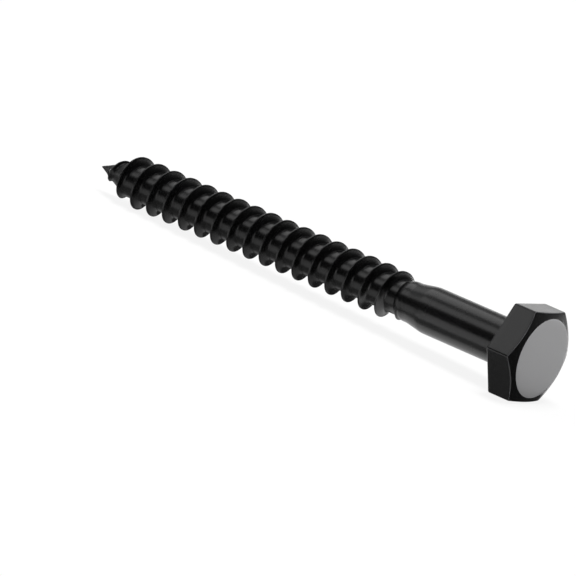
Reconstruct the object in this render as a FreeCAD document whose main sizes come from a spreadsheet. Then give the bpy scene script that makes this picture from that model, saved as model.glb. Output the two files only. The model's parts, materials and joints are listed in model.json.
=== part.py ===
import FreeCAD, Part
import math
import os
import Sketcher
from FreeCAD import Placement, Rotation, Vector

# Hexagon head lag screw: a forged head and shank with a rolled wood thread and a gimlet point.
# It is one piece of steel. It is drawn upright, with the bearing face of the head at height 0
# and the point below, and is then laid on its side, on a flat of the head and one thread crest.

doc = FreeCAD.newDocument("lag_screw")

# Driving dimensions, in millimetres, degrees and turns
DIMENSIONS = {
    "head_across_flats": 11.05,
    "head_height": 3.85,
    "head_disc_diameter": 9.8,
    "head_chamfer_angle": 26,
    "bearing_edge_radius": 0.3,
    "collar_diameter": 7.1,
    "collar_height": 0.12,
    "collar_ledge": 0.13,
    "shank_diameter": 5.83,
    "shank_length": 12.45,
    "taper_length": 2.6,
    "neck_diameter": 4.8,
    "screw_length": 64,
    "thread_start": 16.2,
    "neck_length": 0.5,
    "neck_run_in": 1.6,
    "neck_sink": 0.2,
    "thread_pitch": 2.54,
    "crest_diameter": 6.3,
    "core_diameter": 4.4,
    "thread_base_width": 1.1,
    "runout_length": 2.5,
    "point_length": 5.2,
    "core_point_length": 4.9,
    "point_cone_angle": 20,
    "point_cone_length": 3,
    "point_cone_overlap": 1.2,
    "tip_radius": 0.06,
    "tip_length": 0.6,
    "tip_fade_turns": 0.35,
    "buried_core_share": 0.88,
    "buried_ridge_share": 0.1,
    "thread_end_angle": 160,
    "left_hand": 1,
}

sheet = doc.addObject("Spreadsheet::Sheet", "Sizes")
for row, (name, value) in enumerate(DIMENSIONS.items(), start=1):
    sheet.set(f"A{row}", name)
    sheet.set(f"B{row}", str(value))
    sheet.setAlias(f"B{row}", name)
doc.recompute()


def size(name):
    return float(getattr(sheet, name))


def origin_plane(body, role):
    return next(item for item in body.Origin.OriginFeatures if item.Role == role)


def new_sketch(body, name, role):
    sketch = body.newObject("Sketcher::SketchObject", name)
    sketch.AttachmentSupport = [(origin_plane(body, role), "")]
    sketch.MapMode = "FlatFace"
    return sketch


def closed_outline(sketch, corners):
    """Draws straight sides through corners, each placed by two formulas over the sheet."""
    count = len(corners)
    for index in range(count):
        start = Vector(index, index * index, 0)
        end = Vector(index + 1, (index + 1) ** 2, 0)
        sketch.addGeometry(Part.LineSegment(start, end), False)
    for index in range(count):
        sketch.addConstraint(Sketcher.Constraint("Coincident", index, 2, (index + 1) % count, 1))
    for index, corner in enumerate(corners):
        for direction, formula in zip(("DistanceX", "DistanceY"), corner):
            constraint = Sketcher.Constraint(direction, -1, 1, index, 1, 1.0)
            number = sketch.addConstraint(constraint)
            sketch.setExpression(f"Constraints[{number}]", formula)


# The head: a hexagon with two flats square to X
body = doc.addObject("PartDesign::Body", "head_and_shank")

hexagon = new_sketch(body, "hexagon_outline", "XY_Plane")
closed_outline(
    hexagon,
    [
        (
            f"Sizes.head_across_flats / sqrt(3) * cos({angle} deg)",
            f"Sizes.head_across_flats / sqrt(3) * sin({angle} deg)",
        )
        for angle in range(30, 390, 60)
    ],
)
head = body.newObject("PartDesign::Pad", "head_block")
head.Profile = hexagon
head.setExpression("Length", "Sizes.head_height")
doc.recompute()

# The top of the head is turned to a cone that leaves a flat disc
chamfer_reach = "(Sizes.head_across_flats - Sizes.head_disc_diameter / 2)"
chamfer_outline = new_sketch(body, "chamfer_outline", "XZ_Plane")
closed_outline(
    chamfer_outline,
    [
        ("Sizes.head_disc_diameter / 2", "Sizes.head_height"),
        (
            "Sizes.head_across_flats",
            f"Sizes.head_height - {chamfer_reach} * tan(Sizes.head_chamfer_angle * 1 deg)",
        ),
        ("Sizes.head_across_flats", "Sizes.head_height"),
    ],
)
chamfer = body.newObject("PartDesign::Groove", "head_chamfer")
chamfer.Profile = chamfer_outline
chamfer.ReferenceAxis = (chamfer_outline, ["V_Axis"])
chamfer.Angle = 360
doc.recompute()

# Under the head: a low collar, the plain shank, a taper and the neck that the thread grows from
neck_end = "(Sizes.shank_length + Sizes.taper_length + Sizes.neck_length)"
shank_outline = new_sketch(body, "shank_outline", "XZ_Plane")
closed_outline(
    shank_outline,
    [
        ("0", "Sizes.head_height / 2"),
        ("Sizes.collar_diameter / 2", "Sizes.head_height / 2"),
        ("Sizes.collar_diameter / 2", "-Sizes.collar_height"),
        ("Sizes.shank_diameter / 2", "-Sizes.collar_height"),
        ("Sizes.shank_diameter / 2", "-Sizes.shank_length"),
        ("Sizes.neck_diameter / 2", "-(Sizes.shank_length + Sizes.taper_length)"),
        ("Sizes.neck_diameter / 2", f"-{neck_end}"),
        ("Sizes.core_diameter / 2 - Sizes.neck_sink", f"-({neck_end} + Sizes.neck_run_in)"),
        ("0", f"-({neck_end} + Sizes.neck_run_in)"),
    ],
)
shank = body.newObject("PartDesign::Revolution", "collar_shank_and_neck")
shank.Profile = shank_outline
shank.ReferenceAxis = (shank_outline, ["V_Axis"])
shank.Angle = 360
doc.recompute()


def edges_where(feature, wanted):
    """Names of the feature's edges whose two ends both pass the test."""
    names = []
    for number, edge in enumerate(feature.Shape.Edges, start=1):
        if all(wanted(vertex.Point) for vertex in edge.Vertexes):
            names.append(f"Edge{number}")
    return names


def near(value, target):
    return abs(value - target) < 1e-4


def on_bearing_edge(point):
    outside = math.hypot(point.x, point.y) > size("collar_diameter") / 2 + 1e-3
    return near(point.z, 0) and outside


bearing_round = body.newObject("PartDesign::Fillet", "bearing_edge_round")
bearing_round.Base = (shank, edges_where(shank, on_bearing_edge))
bearing_round.setExpression("Radius", "Sizes.bearing_edge_radius")
doc.recompute()


def on_shank_root(point):
    return near(point.z, -size("collar_height")) and near(
        math.hypot(point.x, point.y), size("shank_diameter") / 2
    )


underhead_blend = body.newObject("PartDesign::Chamfer", "underhead_blend")
underhead_blend.Base = (bearing_round, edges_where(bearing_round, on_shank_root))
underhead_blend.setExpression(
    "Size", "(Sizes.collar_diameter - Sizes.shank_diameter) / 2 - Sizes.collar_ledge"
)
body.Tip = underhead_blend
doc.recompute()

# The thread. Depth is measured from the bearing face down to the point, and turns are counted
# along the helix. Each turn is a band of three strips: the root from the foot of the last ridge
# to the foot of the next one, and the two flanks of that ridge. The first turns start inside
# the shank, and the last one ends inside the point cone.
pitch = size("thread_pitch")
core_radius = size("core_diameter") / 2
full_height = size("crest_diameter") / 2 - core_radius
end = size("screw_length") - size("tip_length")
last_turn = math.ceil((end - size("shank_length")) / pitch)
splines_per_turn = 14


def core_at(depth):
    """Radius at the bottom of the root: even, then shrinking fast enough to enter the cone."""
    from_tip = size("screw_length") - depth
    inner_length = size("point_cone_length")
    inner_radius = inner_length * math.tan(math.radians(size("point_cone_angle")))
    inner_radius *= size("buried_core_share")
    if from_tip < inner_length:
        return inner_radius * from_tip / inner_length
    share = (from_tip - inner_length) / (size("core_point_length") - inner_length)
    return inner_radius + (core_radius - inner_radius) * min(1, share)


def smooth_step(value, low, high):
    share = min(1, max(0, (value - low) / (high - low)))
    return share * share * (3 - 2 * share)


def ridge_height(turn, depth):
    """Height of the crest over the root, with the run-out at the neck and at the tip."""
    from_tip = size("screw_length") - depth
    cone = size("crest_diameter") / 2 * min(1, from_tip / size("point_length"))
    over_core = max(cone - core_at(depth), 0)
    runout_end = size("thread_start") + size("runout_length")
    rise = smooth_step(depth, size("thread_start"), runout_end)
    fall = smooth_step(last_turn - turn, 0, size("tip_fade_turns"))
    hidden = size("buried_ridge_share") * over_core
    return hidden + (over_core - hidden) * rise * fall


def ridge_places(turn):
    """Depth and radius of the ridge's upper foot, crest and lower foot at one moment."""
    middle = end + pitch * (turn - last_turn)
    height = ridge_height(turn, middle)
    half_base = size("thread_base_width") / 2 * height / full_height
    section = [(middle - half_base, 0), (middle, height), (middle + half_base, 0)]
    return [(depth, core_at(depth) + rise) for depth, rise in section]


def band_places(turn):
    """The lower foot of the ridge one turn before, and the three places of this ridge."""
    return ridge_places(turn - 1)[-1:] + ridge_places(turn)


def helix_point(turn, depth, radius):
    angle = math.radians(size("thread_end_angle")) + 2 * math.pi * (turn - last_turn)
    return Vector(radius * math.cos(angle), radius * math.sin(angle), -depth)


def helical_edge(index, first_turn):
    points = []
    steps = []
    for step in range(splines_per_turn + 1):
        share = step / splines_per_turn
        steps.append(share)
        points.append(helix_point(first_turn + share, *band_places(first_turn + share)[index]))
    curve = Part.BSplineCurve()
    curve.interpolate(Points=points, Parameters=steps)
    return curve.toShape()


def hidden_end(turn, boundary_edge):
    """Closes an end with a screw surface to the axis and a flat cut through the section."""
    section = [helix_point(turn, *place) for place in band_places(turn)]
    on_axis = [Vector(0, 0, section[0].z), Vector(0, 0, section[-1].z)]
    axis_edge = Part.LineSegment(*on_axis).toShape()
    cut = Part.Face(Part.makePolygon([on_axis[0]] + section + [on_axis[1], on_axis[0]]))
    return [Part.makeRuledSurface(boundary_edge, axis_edge), cut]


def thread_solid():
    faces = []
    for turn in range(last_turn):
        edges = [helical_edge(index, turn) for index in range(4)]
        faces += [Part.makeRuledSurface(upper, lower) for upper, lower in zip(edges, edges[1:])]
        if turn == 0:
            faces += hidden_end(0, edges[0])
    faces += hidden_end(last_turn, edges[-1])
    shell = Part.makeShell(faces)
    shell.sewShape()
    solid = Part.makeSolid(shell)
    if size("left_hand") < 0.5:
        solid = solid.mirror(Vector(0, 0, 0), Vector(0, 1, 0))
    return solid


thread = doc.addObject("Part::Feature", "wood_thread")
thread.Shape = thread_solid()

# The plain cone of the gimlet point, with a slightly blunt tip
cone_height = "(Sizes.point_cone_length + Sizes.point_cone_overlap)"
point_cone = doc.addObject("Part::Cone", "point_cone")
point_cone.setExpression("Height", cone_height)
point_cone.setExpression("Radius1", "Sizes.tip_radius")
point_cone.setExpression("Radius2", f"{cone_height} * tan(Sizes.point_cone_angle * 1 deg)")
point_cone.setExpression("Placement.Base.z", "-Sizes.screw_length")

screw = doc.addObject("Part::MultiFuse", "lag_screw")
screw.Label = "lag_screw"
screw.Shapes = [body, thread, point_cone]
doc.recompute()


# At rest the rounded bearing edge of the lower flat and one thread crest touch the ground
edge_round = size("bearing_edge_radius")
flat = size("head_across_flats") / 2


def resting_tilt():
    tilts = []
    for turn in range(last_turn // 2, last_turn):
        depth, radius = ridge_places(turn - size("thread_end_angle") / 360)[1]
        tilt = 0.0
        for _ in range(20):
            drop = (flat - edge_round - radius) * math.cos(tilt) + edge_round
            tilt = math.asin(drop / (depth + edge_round))
        tilts.append(tilt)
    return min(tilts)


tilt = resting_tilt()
ground = edge_round * math.sin(tilt) - (flat - edge_round) * math.cos(tilt) - edge_round
head_end = size("head_height") * math.cos(tilt) + size("head_disc_diameter") / 2 * math.sin(tilt)
point_end = -size("screw_length") * math.cos(tilt)
screw.Placement = Placement(
    Vector(-(head_end + point_end) / 2, 0, -ground),
    Rotation(Vector(0, 1, 0), 90 - math.degrees(tilt)),
)
doc.recompute()

for item in doc.Objects:
    if "Invalid" in item.State or "Error" in item.State:
        raise RuntimeError(f"{item.Name} failed: {item.State}")
if screw.Shape.isNull() or not screw.Shape.isValid() or len(screw.Shape.Solids) != 1:
    raise RuntimeError("lag_screw is not one valid solid")

os.makedirs("parts", exist_ok=True)
screw.Shape.exportStep(f"parts/{screw.Label}.step")
print("volume", round(screw.Shape.Volume, 2), "tilt", round(math.degrees(tilt), 3), "turns", last_turn)
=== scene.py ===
import bpy
import bmesh
import json
import math
from mathutils import Matrix, Vector


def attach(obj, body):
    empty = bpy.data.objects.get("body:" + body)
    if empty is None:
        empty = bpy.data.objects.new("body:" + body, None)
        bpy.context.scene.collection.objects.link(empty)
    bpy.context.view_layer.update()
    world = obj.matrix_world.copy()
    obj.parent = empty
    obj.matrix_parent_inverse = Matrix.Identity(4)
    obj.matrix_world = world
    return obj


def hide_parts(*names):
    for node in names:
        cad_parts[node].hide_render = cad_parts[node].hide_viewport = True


# A black steel lag screw, one forged and rolled piece, lying on a flat of its head.
# Its shape is worked out in millimetres on its own axis, with the bearing face at height 0,
# the head above and the point below, and is then laid where the CAD screw lies.

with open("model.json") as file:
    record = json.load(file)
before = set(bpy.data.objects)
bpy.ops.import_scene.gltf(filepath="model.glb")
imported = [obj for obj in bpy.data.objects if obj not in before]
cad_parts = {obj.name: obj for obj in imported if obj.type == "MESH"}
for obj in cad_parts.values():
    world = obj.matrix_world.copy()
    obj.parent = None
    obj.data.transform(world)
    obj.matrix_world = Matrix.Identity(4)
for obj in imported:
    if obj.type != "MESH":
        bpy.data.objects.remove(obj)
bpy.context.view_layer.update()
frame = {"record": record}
mm = 0.001
quarterTurn = math.pi / 2
fullTurn = 2 * math.pi
halfSector = math.radians(30)    # from a corner of the hexagon to the middle of a flat

head = {
    "apothem": 5.525,
    "height": 3.85,
    "discRadius": 4.9,
    "discInnerShare": 0.9,    # where the first row on the disc lies
    "discRound": 0.08,
    "discSteps": 3,
    "chamferAngle": math.radians(26),
    "chamferRound": 0.22,
    "chamferSteps": 4,
    "cornerRound": 0.25,
    "bearingRound": 0.3,
    "edgeSteps": 8,    # round the chamfer's edge, and round the bearing face's
    "sideSteps": 6,
    # painted highlights: a lighter colour on the chamfer's rounded edge and on the bearing face's,
    # where the lamps shine
    "chamferEdgeHighlight": 1.0,
    "bearingEdgeHighlight": 0.4,
    "highlightFocus": 4,    # higher keeps the painted highlight nearer the middle of an edge
    "stepsAround": 240,
    "cornerCrowding": 1.6,
    "reachDigits": 5,
    "mergeDistance": 1e-5,
}

underHead = {
    "collarRadius": 3.55,
    "collarHeight": 0.12,
    "collarRound": 0.05,
    "collarSteps": 4,
    "faceMargin": 0.5,    # from the collar to the first row of the bearing face outside it
    "fillet": 0.58,
    "filletSteps": 10,
}

shank = {
    "radius": 2.915,
    "taperStart": 12.6,
    "taperEnd": 15.0,
    "neckRadius": 2.5,
    "sinkStart": 15.9,    # from here the core sinks under the thread's root
    "sinkEnd": 17.6,
    "sinkRadius": 1.8,
    "edgeSoftness": 0.35,
    "rowSpacing": 0.15,
    "plainSpacing": 6,    # how many times wider the rows lie on the plain shank
    "rowMargin": 1,    # the close rows start this far before the taper
}

thread = {
    "pitch": 2.54,
    "crestRadius": 3.15,
    "rootRadius": 2.2,
    "crestHalfWidth": 0.1,
    "crestSoftness": 0.035,
    "flankSlope": 1 / math.tan(math.radians(19)),
    "rootSoftness": 0.22,
    "leastScale": 0.25,    # the narrowest that a low ridge gets, as a share of the full one
    "length": 64.0,
    "endDepth": 63.4,
    "endAngle": math.radians(160),
    "turns": 21,
    "startDepth": 14.4,
    "emergeLength": 1.4,
    "buriedRadius": 1.8,
    "runoutStart": 14.7,
    "runoutEnd": 18.6,
    "pointLength": 5.2,
    "crestRows": [    # distance from the tip, radius
        (0.0, 0.06), (0.5, 0.32), (1.0, 0.64), (1.9, 1.28), (3.14, 1.86), (4.4, 2.63), (5.3, 3.15),
    ],
    "pointRows": [(0.0, 0.06), (0.5, 0.27), (1.0, 0.5), (1.5, 0.75), (2.05, 1.0), (4.9, 2.2)],
    "tipFadeStart": 63.2,
    "tipSpread": 2.2,
    "spreadEnd": 63.0,
    # a painted highlight along the crest: a lighter colour where the lamps shine on it
    "crestHighlight": 0.05,
    "highlightHalfWidth": 0.1,
    "highlightFullHeight": 0.4,
    "rowOffsets": [    # from the crest to the middle of the root
        0.0, 0.05, 0.09, 0.12, 0.16, 0.2, 0.25, 0.31, 0.37,
        0.43, 0.49, 0.55, 0.61, 0.7, 0.85, 1.05, 1.27,
    ],
    "stepsPerTurn": 72,
    "turnMerge": 1e-4,
    "endMerge": 1e-3,
}

flatShading = 80    # how far the large faces lead the smooth shading


def arcPoints(centre, radius, start, end, steps):
    angles = [start + (end - start) * i / steps for i in range(steps + 1)]
    return [(centre[0] + radius * math.cos(a), centre[1] + radius * math.sin(a)) for a in angles]


def straightPoints(start, end, steps):    # the points between the two ends
    (x, y), (endX, endY) = start, end
    return [(x + (endX - x) * i / steps, y + (endY - y) * i / steps) for i in range(1, steps)]


def share(value, low, high):
    return min(1.0, max(0.0, (value - low) / (high - low)))


def smoothShare(value, low, high):
    t = share(value, low, high)
    return t * t * (3 - 2 * t)


def softRamp(x, softness):    # 0 below the bend and x above it, with a rounded bend
    if abs(x) < softness:
        return (x + softness) ** 2 / (4 * softness)
    return max(x, 0.0)


def alongRows(rows, x):    # the value at x, which keeps the first or last one outside the rows
    for (x0, y0), (x1, y1) in zip(rows, rows[1:]):
        if x <= x1:
            return y0 + (y1 - y0) * share(x, x0, x1)
    return rows[-1][1]


def drawProfile(bm, row, points):    # a chain of edges, whose vertices keep their place in it
    verts = []
    for number, point in enumerate(points):
        vert = bm.verts.new(point)
        vert[row] = number
        verts.append(vert)
    return verts + [bm.edges.new(pair) for pair in zip(verts, verts[1:])]


def objectFrom(bm, name):
    mesh = bpy.data.meshes.new(name)
    bm.to_mesh(mesh)
    bm.free()
    piece = bpy.data.objects.new(name, mesh)
    bpy.context.scene.collection.objects.link(piece)
    return piece


# Head and plain shank: one outline from the top of the axis down, spun round it. Its rows on
# the head follow the hexagon's radius at each angle.

def hexRadius(angle):
    fromCorner = math.radians(abs(math.degrees(angle) % 60 - 30))
    rounding = head["cornerRound"]
    centre = (head["apothem"] - rounding) / math.cos(halfSector)
    tangent = math.atan2(rounding / 2, centre + rounding * math.cos(halfSector))
    if fromCorner < tangent:
        across = centre * math.sin(fromCorner)
        return centre * math.cos(fromCorner) + math.sqrt(rounding ** 2 - across ** 2)
    return head["apothem"] / math.cos(halfSector - fromCorner)


def crowdedAngle(angle):    # brings the steps closer together towards the hexagon's corners
    sector = 2 * halfSector
    corner = round((angle - halfSector) / sector) * sector + halfSector
    part = (angle - corner) / halfSector
    return corner + math.copysign(abs(part) ** head["cornerCrowding"], part) * halfSector


def headOutline(radius):    # from the top of the axis to the bearing face
    slope = head["chamferAngle"]
    discRound, edgeRound, lowRound = head["discRound"], head["chamferRound"], head["bearingRound"]
    discCentre = (head["discRadius"] - discRound * math.tan(slope / 2), head["height"] - discRound)
    outline = [(0.0, head["height"]), (head["discRadius"] * head["discInnerShare"], head["height"])]
    outline += arcPoints(discCentre, discRound, quarterTurn, quarterTurn - slope, head["discSteps"])
    edgeHeight = head["height"] - (radius - head["discRadius"]) * math.tan(slope)
    edgeDrop = edgeRound * math.tan((quarterTurn - slope) / 2)
    edgeCentre = (radius - edgeRound, edgeHeight - edgeDrop)
    edgeArc = arcPoints(edgeCentre, edgeRound, quarterTurn - slope, 0, head["edgeSteps"])
    outline += straightPoints(outline[-1], edgeArc[0], head["chamferSteps"]) + edgeArc
    lowCentre = (radius - lowRound, lowRound)
    lowArc = arcPoints(lowCentre, lowRound, 0, -quarterTurn, head["edgeSteps"])
    outline += straightPoints(edgeArc[-1], lowArc[0], head["sideSteps"]) + lowArc
    return outline


def headEdgeHighlight(rowsFromEnd):    # painted highlight on the head's two rounded edges: its last rows are a rounded edge, its side, and another edge
    edgeRows = head["edgeSteps"] + 1
    sideRows = head["sideSteps"] - 1
    edges = ((-2 * edgeRows - sideRows, head["chamferEdgeHighlight"]), (-edgeRows, head["bearingEdgeHighlight"]))
    for first, most in edges:
        if first <= rowsFromEnd < first + edgeRows:
            across = (rowsFromEnd - first + 0.5) / edgeRows
            return most * math.sin(across * math.pi) ** head["highlightFocus"]
    return 0.0


def shankOutline():    # from the bearing face to the core's end inside the thread
    collar, rise = underHead["collarRadius"], underHead["collarHeight"]
    rounding = underHead["collarRound"]
    inner = rounding / 4    # softens the corner between the bearing face and the collar
    outline = [(collar + underHead["faceMargin"], 0.0), (collar + rounding, 0.0)]
    outline.append((collar + inner, -inner))
    collarCentre = (collar - rounding, rounding - rise)
    outline += arcPoints(collarCentre, rounding, 0, -quarterTurn, underHead["collarSteps"])
    blend = underHead["fillet"]
    blendCentre = (shank["radius"] + blend, -rise - blend)
    outline += arcPoints(blendCentre, blend, quarterTurn, 2 * quarterTurn, underHead["filletSteps"])
    softness = shank["edgeSoftness"]
    taper = (shank["radius"] - shank["neckRadius"]) / (shank["taperEnd"] - shank["taperStart"])
    sink = (shank["neckRadius"] - shank["sinkRadius"]) / (shank["sinkEnd"] - shank["sinkStart"])
    depth = rise + blend
    while depth < shank["sinkEnd"]:
        nearTaper = depth > shank["taperStart"] - shank["rowMargin"]
        depth += shank["rowSpacing"] * (1 if nearTaper else shank["plainSpacing"])
        radius = shank["radius"] - taper * softRamp(depth - shank["taperStart"], softness)
        radius += taper * softRamp(depth - shank["taperEnd"], softness)
        radius -= sink * softRamp(depth - shank["sinkStart"], softness)
        outline.append((radius, -depth))
    return outline + [(0.0, outline[-1][1])]


def spinForging(bm):
    headPoints = headOutline(head["apothem"])    # its radii are set for each angle below
    points = headPoints + shankOutline()
    row = bm.verts.layers.int.new("row")
    edgeHighlight = bm.verts.layers.float.new("edgeHighlight")
    profile = drawProfile(bm, row, [(radius, 0, height) for radius, height in points])
    bmesh.ops.spin(
        bm, geom=profile, axis=(0, 0, 1), cent=(0, 0, 0),
        angle=fullTurn, steps=head["stepsAround"], use_merge=True,
    )
    bmesh.ops.remove_doubles(bm, verts=bm.verts, dist=head["mergeDistance"])
    outlines = {}    # one outline for each hexagon radius that is met
    for vert in bm.verts:
        if vert[row] in (0, len(points) - 1):    # these two are on the axis
            continue
        angle = crowdedAngle(math.atan2(vert.co.y, vert.co.x))
        radius = vert.co.xy.length
        if vert[row] < len(headPoints):
            reach = round(hexRadius(angle), head["reachDigits"])
            if reach not in outlines:
                outlines[reach] = headOutline(reach)
            radius, vert.co.z = outlines[reach][vert[row]]
            # painted highlight on the head's rounded edges
            vert[edgeHighlight] = headEdgeHighlight(vert[row] - len(headPoints))
        vert.co.x = radius * math.cos(angle)
        vert.co.y = radius * math.sin(angle)


# Thread: one pitch of its section, wound down the axis, then pushed in or out to the root and
# crest radii, with the run-out on the neck and the gimlet point.

def rootRadius(depth):
    onPoint = alongRows(thread["pointRows"], thread["length"] - depth)
    start = thread["startDepth"]
    buried = 1 - smoothShare(depth, start, start + thread["emergeLength"])
    return onPoint - (thread["rootRadius"] - thread["buriedRadius"]) * buried


def ridgeHeight(depth):
    fromTip = thread["length"] - depth
    height = alongRows(thread["crestRows"], fromTip) - alongRows(thread["pointRows"], fromTip)
    height = max(height, 0) * smoothShare(depth, thread["runoutStart"], thread["runoutEnd"])
    return height * (1 - smoothShare(depth, thread["tipFadeStart"], thread["length"]))


def sectionHeight(offset, height, depth):    # the ridge is wider near the tip
    spread = smoothShare(depth, thread["length"] - thread["pointLength"], thread["spreadEnd"])
    distance = abs(offset) / (1 + thread["tipSpread"] * spread)
    full = thread["crestRadius"] - thread["rootRadius"]
    scale = max(height / full, thread["leastScale"])
    slope = thread["flankSlope"]
    foot = thread["crestHalfWidth"] + full / slope
    fall = softRamp(distance / scale - thread["crestHalfWidth"], thread["crestSoftness"])
    rise = softRamp(distance / scale - foot, thread["rootSoftness"])
    return height * max(0, 1 - slope * (fall - rise) / full)


def oneTurn(offsets):    # a turn of the section at radius 1
    turn = bmesh.new()
    row = turn.verts.layers.int.new("row")
    start = Matrix.Rotation(thread["endAngle"], 3, "Z") @ Vector((1, 0, 0))
    profile = drawProfile(turn, row, [(start.x, start.y, -offset) for offset in offsets])
    steps = thread["stepsPerTurn"]
    bmesh.ops.spin(
        turn, geom=profile, axis=(0, 0, 1), cent=(0, 0, 0), angle=fullTurn,
        dvec=(0, 0, -thread["pitch"] / steps), steps=steps,
    )
    return turn


def windThread(bm):
    offsets = [-offset for offset in reversed(thread["rowOffsets"][1:])] + thread["rowOffsets"]
    turn = oneTurn(offsets)
    mesh = bpy.data.meshes.new("threadOnly")
    wound = bmesh.new()
    depth = thread["endDepth"] - thread["pitch"] * (thread["turns"] - 1)
    bmesh.ops.translate(turn, verts=turn.verts, vec=(0, 0, -depth))
    for _ in range(thread["turns"] + 1):
        turn.to_mesh(mesh)
        wound.from_mesh(mesh)
        bmesh.ops.translate(turn, verts=turn.verts, vec=(0, 0, -thread["pitch"]))
    turn.free()
    bmesh.ops.remove_doubles(wound, verts=wound.verts, dist=thread["turnMerge"])
    row = wound.verts.layers.int["row"]
    edgeHighlight = wound.verts.layers.float.new("edgeHighlight")
    for vert in wound.verts:
        depth = -vert.co.z
        offset = offsets[vert[row]]
        inside = thread["startDepth"] < depth < thread["length"]
        height = ridgeHeight(depth - offset)
        radius = rootRadius(depth) + sectionHeight(offset, height, depth) if inside else 0
        # painted highlight along the crest
        if abs(offset) < thread["highlightHalfWidth"] and inside:
            vert[edgeHighlight] = thread["crestHighlight"] * share(height, 0, thread["highlightFullHeight"])
        vert.co.x *= radius
        vert.co.y *= radius
        vert.co.z = -min(max(depth, thread["startDepth"]), thread["length"])
    bmesh.ops.remove_doubles(wound, verts=wound.verts, dist=thread["endMerge"])
    bmesh.ops.dissolve_degenerate(wound, edges=wound.edges, dist=thread["endMerge"])
    wound.to_mesh(mesh)
    wound.free()
    bm.from_mesh(mesh)
    bpy.data.meshes.remove(mesh)


def layingMatrix():    # from the screw's own axis to where the CAD screw lies, in metres
    headTop = next(mount for mount in frame["record"]["mounts"] if mount["name"] == "head_top")
    axis = Vector(headTop["axis"]).normalized()
    sideways = Vector((0, 1, 0))
    down = sideways.cross(axis)
    turn = Matrix((down, sideways, axis)).transposed().to_4x4()
    bearing = Vector(headTop["pos_m"]) - axis * head["height"] * mm
    return Matrix.Translation(bearing) @ turn


def makeScrew():
    bm = bmesh.new()
    spinForging(bm)
    windThread(bm)
    bmesh.ops.recalc_face_normals(bm, faces=bm.faces)
    bm.transform(layingMatrix() @ Matrix.Scale(mm, 4))
    for face in bm.faces:
        face.smooth = True
    screw = objectFrom(bm, "blackLagScrew")
    weighted = screw.modifiers.new("flatFacesFlat", "WEIGHTED_NORMAL")
    weighted.weight = flatShading
    return screw


screw = makeScrew()
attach(screw, "root")
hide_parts("lag_screw")
print("screw made:", len(screw.data.polygons), "faces")


# Materials

class Socket:
    def __init__(self, tree, socket):
        self.tree = tree
        self.socket = socket

    def combine(self, operation, other, flipped=False):
        pair = (other, self) if flipped else (self, other)
        inputs = dict(enumerate(pair))
        return nodeOutput(self.tree, "ShaderNodeMath", {"operation": operation}, inputs)

    def __add__(self, other): return self.combine("ADD", other)
    def __radd__(self, other): return self.combine("ADD", other, True)
    def __sub__(self, other): return self.combine("SUBTRACT", other)
    def __rsub__(self, other): return self.combine("SUBTRACT", other, True)
    def __mul__(self, other): return self.combine("MULTIPLY", other)
    def __rmul__(self, other): return self.combine("MULTIPLY", other, True)
    def __gt__(self, other): return self.combine("GREATER_THAN", other)
    def __lt__(self, other): return self.combine("LESS_THAN", other)


def nodeOutput(tree, kind, settings, inputs, output=0):
    node = tree.nodes.new(kind)
    for name, value in settings.items():
        setattr(node, name, value)
    for key, value in inputs.items():
        if isinstance(value, Socket):
            tree.links.new(value.socket, node.inputs[key])
        else:
            node.inputs[key].default_value = value
    return Socket(tree, node.outputs[output])


def noise(tree, where, scale, detail):
    inputs = {"Vector": where, "Scale": scale, "Detail": detail}
    return nodeOutput(tree, "ShaderNodeTexNoise", {}, inputs)


def scaledVector(tree, vector, factors):
    settings = {"operation": "MULTIPLY"}
    return nodeOutput(tree, "ShaderNodeVectorMath", settings, {0: vector, 1: factors})


def mixedColour(tree, mask, first, second):
    inputs = {0: mask, 6: first, 7: second}
    return nodeOutput(tree, "ShaderNodeMix", {"data_type": "RGBA"}, inputs, 2)


def whiteLight(tree, kind, strength):
    return nodeOutput(tree, kind, {}, {"Color": (1, 1, 1, 1), "Strength": strength})


def newMaterial(name):
    material = bpy.data.materials.new(name)
    material.use_nodes = True
    material.node_tree.nodes.clear()
    return material, material.node_tree


def useSurface(tree, surface, kind="ShaderNodeOutputMaterial"):
    output = tree.nodes.new(kind)
    tree.links.new(surface.socket, output.inputs["Surface"])


coating = {
    "darkColour": (0.0012, 0.0012, 0.0013, 1),
    "paleColour": (0.003, 0.003, 0.0032, 1),
    # a lighter colour painted on the rounded edges and crests as their highlights
    "highlightColour": (0.11, 0.11, 0.114, 1),
    # the disc is painted lighter, as its reflection of the lamps
    "discSheenColour": (0.14, 0.14, 0.144, 1),
    "discDepth": 0.02,    # the disc's painted sheen and its roughness end this far below its top, in millimetres
    "leastHighlight": 0.3,
    "roughness": 0.26,
    "discRoughness": 0.42,
    "roughnessSpread": 0.08,
    "cloudScale": 260,
    "cloudDetail": 3.0,
    "grainScale": 5200,
    "grainDepth": 0.000004,
    "ringScale": 3600,
    "ringDepth": 0.000003,
    "ringShine": 0.1,
    "fineDetail": 2.0,    # of the grain and the rings
    "noiseMiddle": 0.5,
    "specular": 0.5,
}


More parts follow.
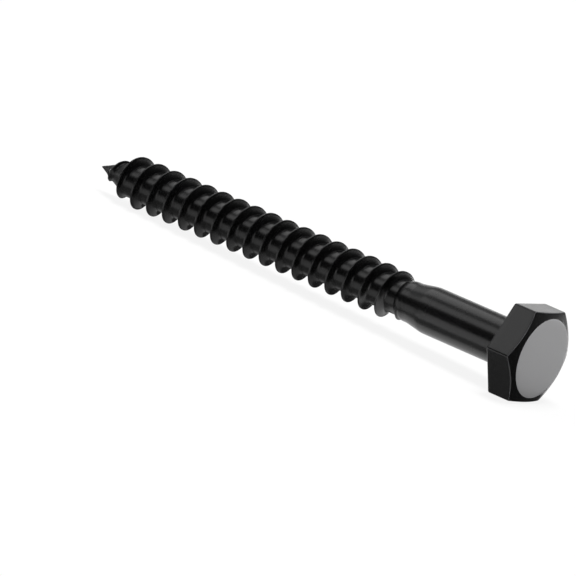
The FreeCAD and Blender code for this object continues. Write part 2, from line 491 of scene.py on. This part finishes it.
def blackCoating():
    material, tree = newMaterial("blackCoating")
    place = layingMatrix()
    where = nodeOutput(tree, "ShaderNodeTexCoord", {}, {}, "Object")
    onAxis = nodeOutput(
        tree, "ShaderNodeMapping", {"vector_type": "TEXTURE"},
        {"Vector": where, "Location": place.to_translation(), "Rotation": place.to_euler()},
    )
    height = nodeOutput(tree, "ShaderNodeSeparateXYZ", {}, {0: onAxis}, 2)
    flatAcross = scaledVector(tree, onAxis, (1, 1, 0))
    length = {"operation": "LENGTH"}
    radius = nodeOutput(tree, "ShaderNodeVectorMath", length, {0: flatAcross}, "Value")
    discBottom = (head["height"] - coating["discDepth"]) * mm
    onDisc = (height > discBottom) * (radius < head["discRadius"] * mm)
    clouds = noise(tree, where, coating["cloudScale"], coating["cloudDetail"])
    grain = noise(tree, where, coating["grainScale"], coating["fineDetail"])
    alongOnly = scaledVector(tree, onAxis, (0, 0, 1))
    rings = noise(tree, alongOnly, coating["ringScale"], coating["fineDetail"])
    belowHead = height < 0.0
    rings = (rings - coating["noiseMiddle"]) * belowHead    # they run round the shank and thread
    plain = mixedColour(tree, clouds, coating["darkColour"], coating["paleColour"])
    # mixes in the painted highlights on the edges and crests
    edgeHighlight = nodeOutput(tree, "ShaderNodeAttribute", {"attribute_name": "edgeHighlight"}, {}, "Fac")
    highlighted = mixedColour(tree, edgeHighlight * (clouds + coating["leastHighlight"]), plain, coating["highlightColour"])
    # painted reflection: the disc gets the lighter colour
    colour = mixedColour(tree, onDisc, highlighted, coating["discSheenColour"])
    roughness = coating["roughness"] + onDisc * (coating["discRoughness"] - coating["roughness"])
    roughness = roughness + (clouds - coating["noiseMiddle"]) * coating["roughnessSpread"]
    roughness = roughness + rings * coating["ringShine"]
    relief = grain * coating["grainDepth"] + rings * coating["ringDepth"]
    bump = nodeOutput(
        tree, "ShaderNodeBump", {}, {"Height": relief, "Distance": 1.0, "Strength": 1.0},
    )
    surface = nodeOutput(tree, "ShaderNodeBsdfPrincipled", {}, {
        "Base Color": colour, "Roughness": roughness, "Normal": bump,
        "Specular IOR Level": coating["specular"],
    })
    useSurface(tree, surface)
    return material


screw.data.materials.append(blackCoating())
print("coating made")


# Floor, background, lamps and camera

stage = {
    "floorSize": 12.0,
    "floorColour": (0.88, 0.88, 0.88, 1),
    "cameraWhite": 0.88,
    "reflectedWhite": 0.05,
    "darkSide": 0.03,
    "brightSide": 0.3,
    "darkFrom": 0.1,    # of a direction's part along the screw, which is 1 past the head
    "brightFrom": -0.5,    # and -1 past the point
}


def whiteShare(tree):    # how far the floor is plain white: for the camera, and for reflections
    camera, glossy, clear = (
        nodeOutput(tree, "ShaderNodeLightPath", {}, {}, name)
        for name in ("Is Camera Ray", "Is Glossy Ray", "Is Transmission Ray")
    )
    return camera * stage["cameraWhite"] + (glossy + clear) * stage["reflectedWhite"]


def makeFloor():
    bm = bmesh.new()
    bmesh.ops.create_grid(bm, x_segments=4, y_segments=4, size=stage["floorSize"] / 2)
    floor = objectFrom(bm, "floor")
    material, tree = newMaterial("paleFloor")
    lit = nodeOutput(tree, "ShaderNodeBsdfDiffuse", {}, {"Color": stage["floorColour"]})
    white = whiteLight(tree, "ShaderNodeEmission", 1.0)
    mixed = nodeOutput(tree, "ShaderNodeMixShader", {}, {0: whiteShare(tree), 1: lit, 2: white})
    useSurface(tree, mixed)
    floor.data.materials.append(material)


# Black, grey and white cards stand and lie round the screw, as a photographer sets them. Only
# reflections see them, each at the even brightness of its shade.

lyingHeight = 0.0002    # of the cards that lie on the floor

cards = {
    "threadUpright": {
        "centre": (-0.03775, -0.018, 0.0075), "facing": (0, 1, 0),
        "size": (0.0845, 0.015), "shade": 0.02,
    },
    "shankUpright": {
        "centre": (0.02725, -0.018, 0.0085), "facing": (0, 1, 0),
        "size": (0.0455, 0.013), "shade": 0.04,
    },
    "threadFrontStrip": {
        "centre": (-0.0345, -0.01115, lyingHeight), "facing": (0, 0, 1),
        "size": (0.091, 0.0133), "shade": 0.7,
    },
    "threadDarkStrip": {
        "centre": (-0.0345, -0.00265, lyingHeight), "facing": (0, 0, 1),
        "size": (0.091, 0.0037), "shade": 0.2,
    },
    "threadLightStrip": {
        "centre": (-0.0345, 0.0001, lyingHeight), "facing": (0, 0, 1),
        "size": (0.091, 0.0018), "shade": 0.42,
    },
    "threadBackStrip": {
        "centre": (-0.0345, 0.004, lyingHeight), "facing": (0, 0, 1),
        "size": (0.091, 0.006), "shade": 0.05,
    },
    "shankDarkStrip": {
        "centre": (0.01825, -0.0049, lyingHeight), "facing": (0, 0, 1),
        "size": (0.0145, 0.0034), "shade": 0.28,
    },
    "shankLightStrip": {
        "centre": (0.02025, 0.0009, lyingHeight), "facing": (0, 0, 1),
        "size": (0.0185, 0.0082), "shade": 1.0,
    },
    "headUpright": {
        "centre": (0.048, -0.02, 0.016), "facing": (-1, 0, 0),
        "size": (0.056, 0.032), "shade": 0.07,
    },
    "beforeHeadStrip": {
        "centre": (0.04075, -0.006, lyingHeight), "facing": (0, 0, 1),
        "size": (0.0145, 0.028), "shade": 0.05,
    },
    "besideHeadStrip": {
        "centre": (0.0295, -0.0065, lyingHeight), "facing": (0, 0, 1),
        "size": (0.008, 0.0066), "shade": 0.22,
    },
}


def makeCard(name, facts):
    material, tree = newMaterial(name)
    useSurface(tree, whiteLight(tree, "ShaderNodeEmission", facts["shade"]))
    bm = bmesh.new()
    bmesh.ops.create_grid(bm, x_segments=1, y_segments=1, size=0.5)    # a square with sides of 1
    bmesh.ops.scale(bm, vec=(*facts["size"], 1), verts=bm.verts)
    turn = Vector(facts["facing"]).to_track_quat("Z", "Y").to_matrix().to_4x4()
    bm.transform(Matrix.Translation(facts["centre"]) @ turn)
    card = objectFrom(bm, name)
    card.data.materials.append(material)
    card.visible_camera = card.visible_diffuse = False
    card.visible_shadow = card.visible_transmission = False


def makeWorld():
    world = bpy.data.worlds.new("studio")
    bpy.context.scene.world = world
    world.use_nodes = True
    tree = world.node_tree
    tree.nodes.clear()
    where = nodeOutput(tree, "ShaderNodeTexCoord", {}, {}, "Object")
    lengthwise = nodeOutput(tree, "ShaderNodeSeparateXYZ", {}, {0: where}, 0)
    towardsPoint = nodeOutput(
        tree, "ShaderNodeMapRange", {"interpolation_type": "SMOOTHSTEP"},
        {0: lengthwise, 1: stage["darkFrom"], 2: stage["brightFrom"], 3: 0.0, 4: 1.0},
    )
    strength = stage["darkSide"] + towardsPoint * (stage["brightSide"] - stage["darkSide"])
    useSurface(tree, whiteLight(tree, "ShaderNodeBackground", strength), "ShaderNodeOutputWorld")


lamps = {
    "overhead": {
        "towards": (-0.04, 0.0, 1.0), "distance": 1.2, "size": (0.5, 0.5),
        "power": 15, "inReflections": False,
    },
    "upperLeft": {
        "towards": (-0.57, 0.14, 0.80), "distance": 0.8, "size": (0.5, 0.34),
        "power": 0.68, "inReflections": True,
    },
    "cameraLeft": {
        "towards": (-0.565, -0.625, 0.54), "distance": 0.8, "size": (0.5, 0.38),
        "power": 0.6, "inReflections": True,
    },
    "backLeft": {
        "towards": (-0.55, 0.82, 0.19), "distance": 0.8, "size": (0.5, 0.22),
        "power": 0.35, "inReflections": True,
    },
    "backRight": {
        "towards": (0.55, 0.82, 0.055), "distance": 0.8, "size": (0.5, 0.08),
        "power": 3.2, "inReflections": True,
    },
}


def makeLamps():
    for name, facts in lamps.items():
        light = bpy.data.lights.new(name, "AREA")
        light.shape = "RECTANGLE"
        light.size, light.size_y = facts["size"]
        light.energy = facts["power"]
        lamp = bpy.data.objects.new(name, light)
        direction = Vector(facts["towards"]).normalized()
        lamp.location = direction * facts["distance"]
        lamp.visible_glossy = facts["inReflections"]
        lamp.rotation_euler = direction.to_track_quat("Z", "Y").to_euler()
        bpy.context.scene.collection.objects.link(lamp)


camera = {
    "location": (0.419844, -0.650478, 0.165488),
    "right": (0.757048, 0.572215, 0.315357),
    "up": (-0.378245, -0.009717, 0.925653),
    "back": (0.532737, -0.820046, 0.209083),
    "lens": 414.6,
    "sensor": 36,
    "nearest": 0.01,
}


def makeCamera():
    data = bpy.data.cameras.new("photoCamera")
    data.lens = camera["lens"]
    data.sensor_width = camera["sensor"]
    data.clip_start = camera["nearest"]
    seat = bpy.data.objects.new("photoCamera", data)
    turn = Matrix((camera["right"], camera["up"], camera["back"])).transposed()
    seat.matrix_world = Matrix.Translation(camera["location"]) @ turn.to_4x4()
    bpy.context.scene.collection.objects.link(seat)
    bpy.context.scene.camera = seat


makeFloor()
for cardName, cardFacts in cards.items():
    makeCard(cardName, cardFacts)
makeWorld()
makeLamps()
makeCamera()
bpy.context.scene.view_settings.view_transform = "Standard"
print("studio made")
